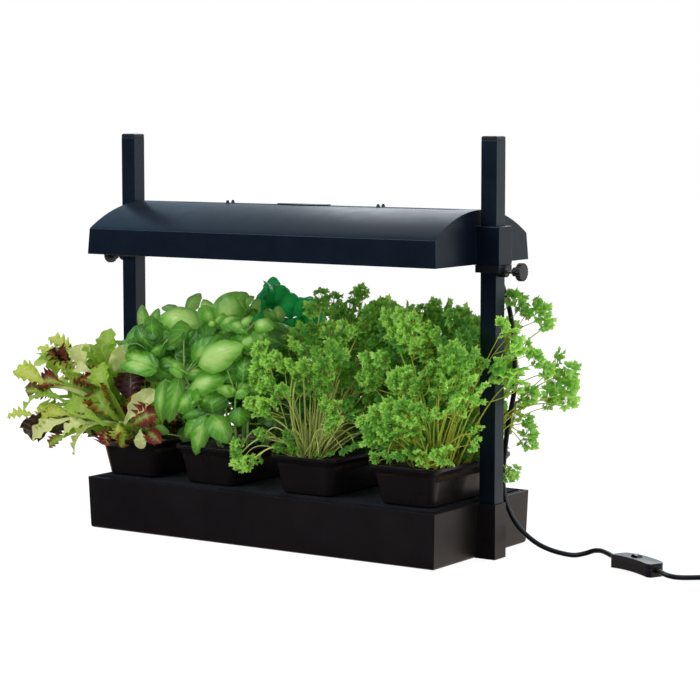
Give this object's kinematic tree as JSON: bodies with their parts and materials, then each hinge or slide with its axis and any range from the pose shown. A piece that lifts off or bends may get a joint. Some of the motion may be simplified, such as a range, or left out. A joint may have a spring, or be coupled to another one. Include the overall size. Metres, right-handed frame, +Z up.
{
  "type": "countertop grow-light garden",
  "caption": "Tabletop grow-light garden: deep watering tray, square end posts, arched sliding lamp hood with clamp collars, planted troughs on a wick mat, mains lead with rocker switch.",
  "frame": {"origin": "centre of the tray's underside, on the surface it stands on", "axes": "+X along the tray towards the end where the lead hangs, +Y to the back, +Z up"},
  "size_m": [1.1964, 0.273, 0.582],
  "materials": {
    "tray_plastic": "satin moulded black plastic",
    "platform_plastic": "moulded black plastic, plain",
    "mat_felt": "damp black felt",
    "trough_plastic": "thin black plastic with a soft gloss",
    "compost": "damp dark compost",
    "lettuce_leaf": "frilled yellow-green and red lettuce leaf",
    "basil_leaf": "glossy green basil leaf",
    "mint_leaf": "dark green leaf",
    "coriander_leaf": "thin pale stems and fine green leaves",
    "parsley_leaf": "curled green parsley leaf",
    "post_plastic": "smooth black square tube",
    "cap_plastic": "moulded black cap",
    "hood_plastic": "satin black with a fine grain",
    "badge_plastic": "blank glossy oval",
    "lamp_white": "white enamel",
    "ballast_block": "potted block",
    "holder_plastic": "white moulded holder",
    "clip_plastic": "black spring clip",
    "gland_rubber": "black strain relief",
    "lamp_glass": "white coated glass tube, unlit",
    "lamp_metal": "pressed end cap and pins",
    "collar_plastic": "moulded black collar",
    "insert_brass": "turned insert",
    "screw_steel": "blackened steel shank",
    "knob_plastic": "ribbed black knob",
    "cord_rubber": "smooth black sheath",
    "tie_plastic": "black band",
    "case_plastic": "black moulded case",
    "lid_plastic": "satin black moulded lid",
    "rocker_plastic": "glossy black rocker",
    "contact_brass": "pressed brass",
    "case_screw_steel": "plated screws",
    "plug_rubber": "moulded black plug",
    "plug_metal": "plated blades and pin"
  },
  "bodies": {
    "stand": {"tray": "tray_plastic", "platform": "platform_plastic", "wick_mat": "mat_felt", "trough_1": "trough_plastic", "trough_2": "trough_plastic", "trough_3": "trough_plastic", "trough_4": "trough_plastic", "compost_1": "compost", "compost_2": "compost", "compost_3": "compost", "compost_4": "compost", "lettuce": "lettuce_leaf", "basil": "basil_leaf", "mint": "mint_leaf", "coriander": "coriander_leaf", "parsley": "parsley_leaf", "post_left": "post_plastic", "post_right": "post_plastic", "post_cap_left": "cap_plastic", "post_cap_right": "cap_plastic", "cord_drop": "cord_rubber", "cord_lead": "cord_rubber", "cord_coil": "cord_rubber", "coil_tie": "tie_plastic", "cord_end": "cord_rubber", "switch_base": "case_plastic", "switch_lid": "lid_plastic", "switch_contacts": "contact_brass", "switch_screws": "case_screw_steel", "plug_body": "plug_rubber", "plug_pins": "plug_metal"},
    "hood": {"hood": "hood_plastic", "badge": "badge_plastic", "ballast_housing": "lamp_white", "ballast": "ballast_block", "reflector": "lamp_white", "lamp_holder_left": "holder_plastic", "lamp_holder_right": "holder_plastic", "lamp_clip_left": "clip_plastic", "lamp_clip_right": "clip_plastic", "cord_gland": "gland_rubber"},
    "lamp": {"lamp_tube": "lamp_glass", "lamp_cap_left": "lamp_metal", "lamp_cap_right": "lamp_metal"},
    "collar_left": {"collar_left": "collar_plastic", "insert_left": "insert_brass"},
    "collar_right": {"collar_right": "collar_plastic", "insert_right": "insert_brass"},
    "thumb_screw_left": {"screw_left": "screw_steel", "knob_left": "knob_plastic"},
    "thumb_screw_right": {"screw_right": "screw_steel", "knob_right": "knob_plastic"},
    "rocker": {"switch_rocker": "rocker_plastic"}
  },
  "joints": [
    {"name": "hood_slide", "type": "slide", "parent": "stand", "child": "hood", "axis": [0, 0, 1], "range_m": [-0.025, 0.11], "deforming": ["cord_drop"]},
    {"name": "collar_left_slide", "type": "slide", "parent": "stand", "child": "collar_left", "axis": [0, 0, 1], "range_m": [-0.025, 0.11]},
    {"name": "collar_right_slide", "type": "slide", "parent": "stand", "child": "collar_right", "axis": [0, 0, 1], "range_m": [-0.025, 0.11]},
    {"name": "screw_left_turn", "type": "hinge", "parent": "collar_left", "child": "thumb_screw_left", "pos_m": [-0.335, 0, 0.398], "axis": [-1, 0, 0], "range_deg": [0, 360]},
    {"name": "screw_right_turn", "type": "hinge", "parent": "collar_right", "child": "thumb_screw_right", "pos_m": [0.335, 0, 0.398], "axis": [1, 0, 0], "range_deg": [0, 360]},
    {"name": "lamp_twist", "type": "hinge", "parent": "hood", "child": "lamp", "pos_m": [0, 0, 0.4317], "axis": [1, 0, 0], "range_deg": [0, 90]},
    {"name": "rocker_tilt", "type": "hinge", "parent": "stand", "child": "rocker", "pos_m": [0.528, 0.023, 0.0165], "axis": [0.4305, 0.9026, 0], "range_deg": [-18, 0]}
  ],
  "couplings": [
    {"joint": "collar_left_slide", "follows": "hood_slide", "ratio": 1},
    {"joint": "collar_right_slide", "follows": "hood_slide", "ratio": 1}
  ]
}
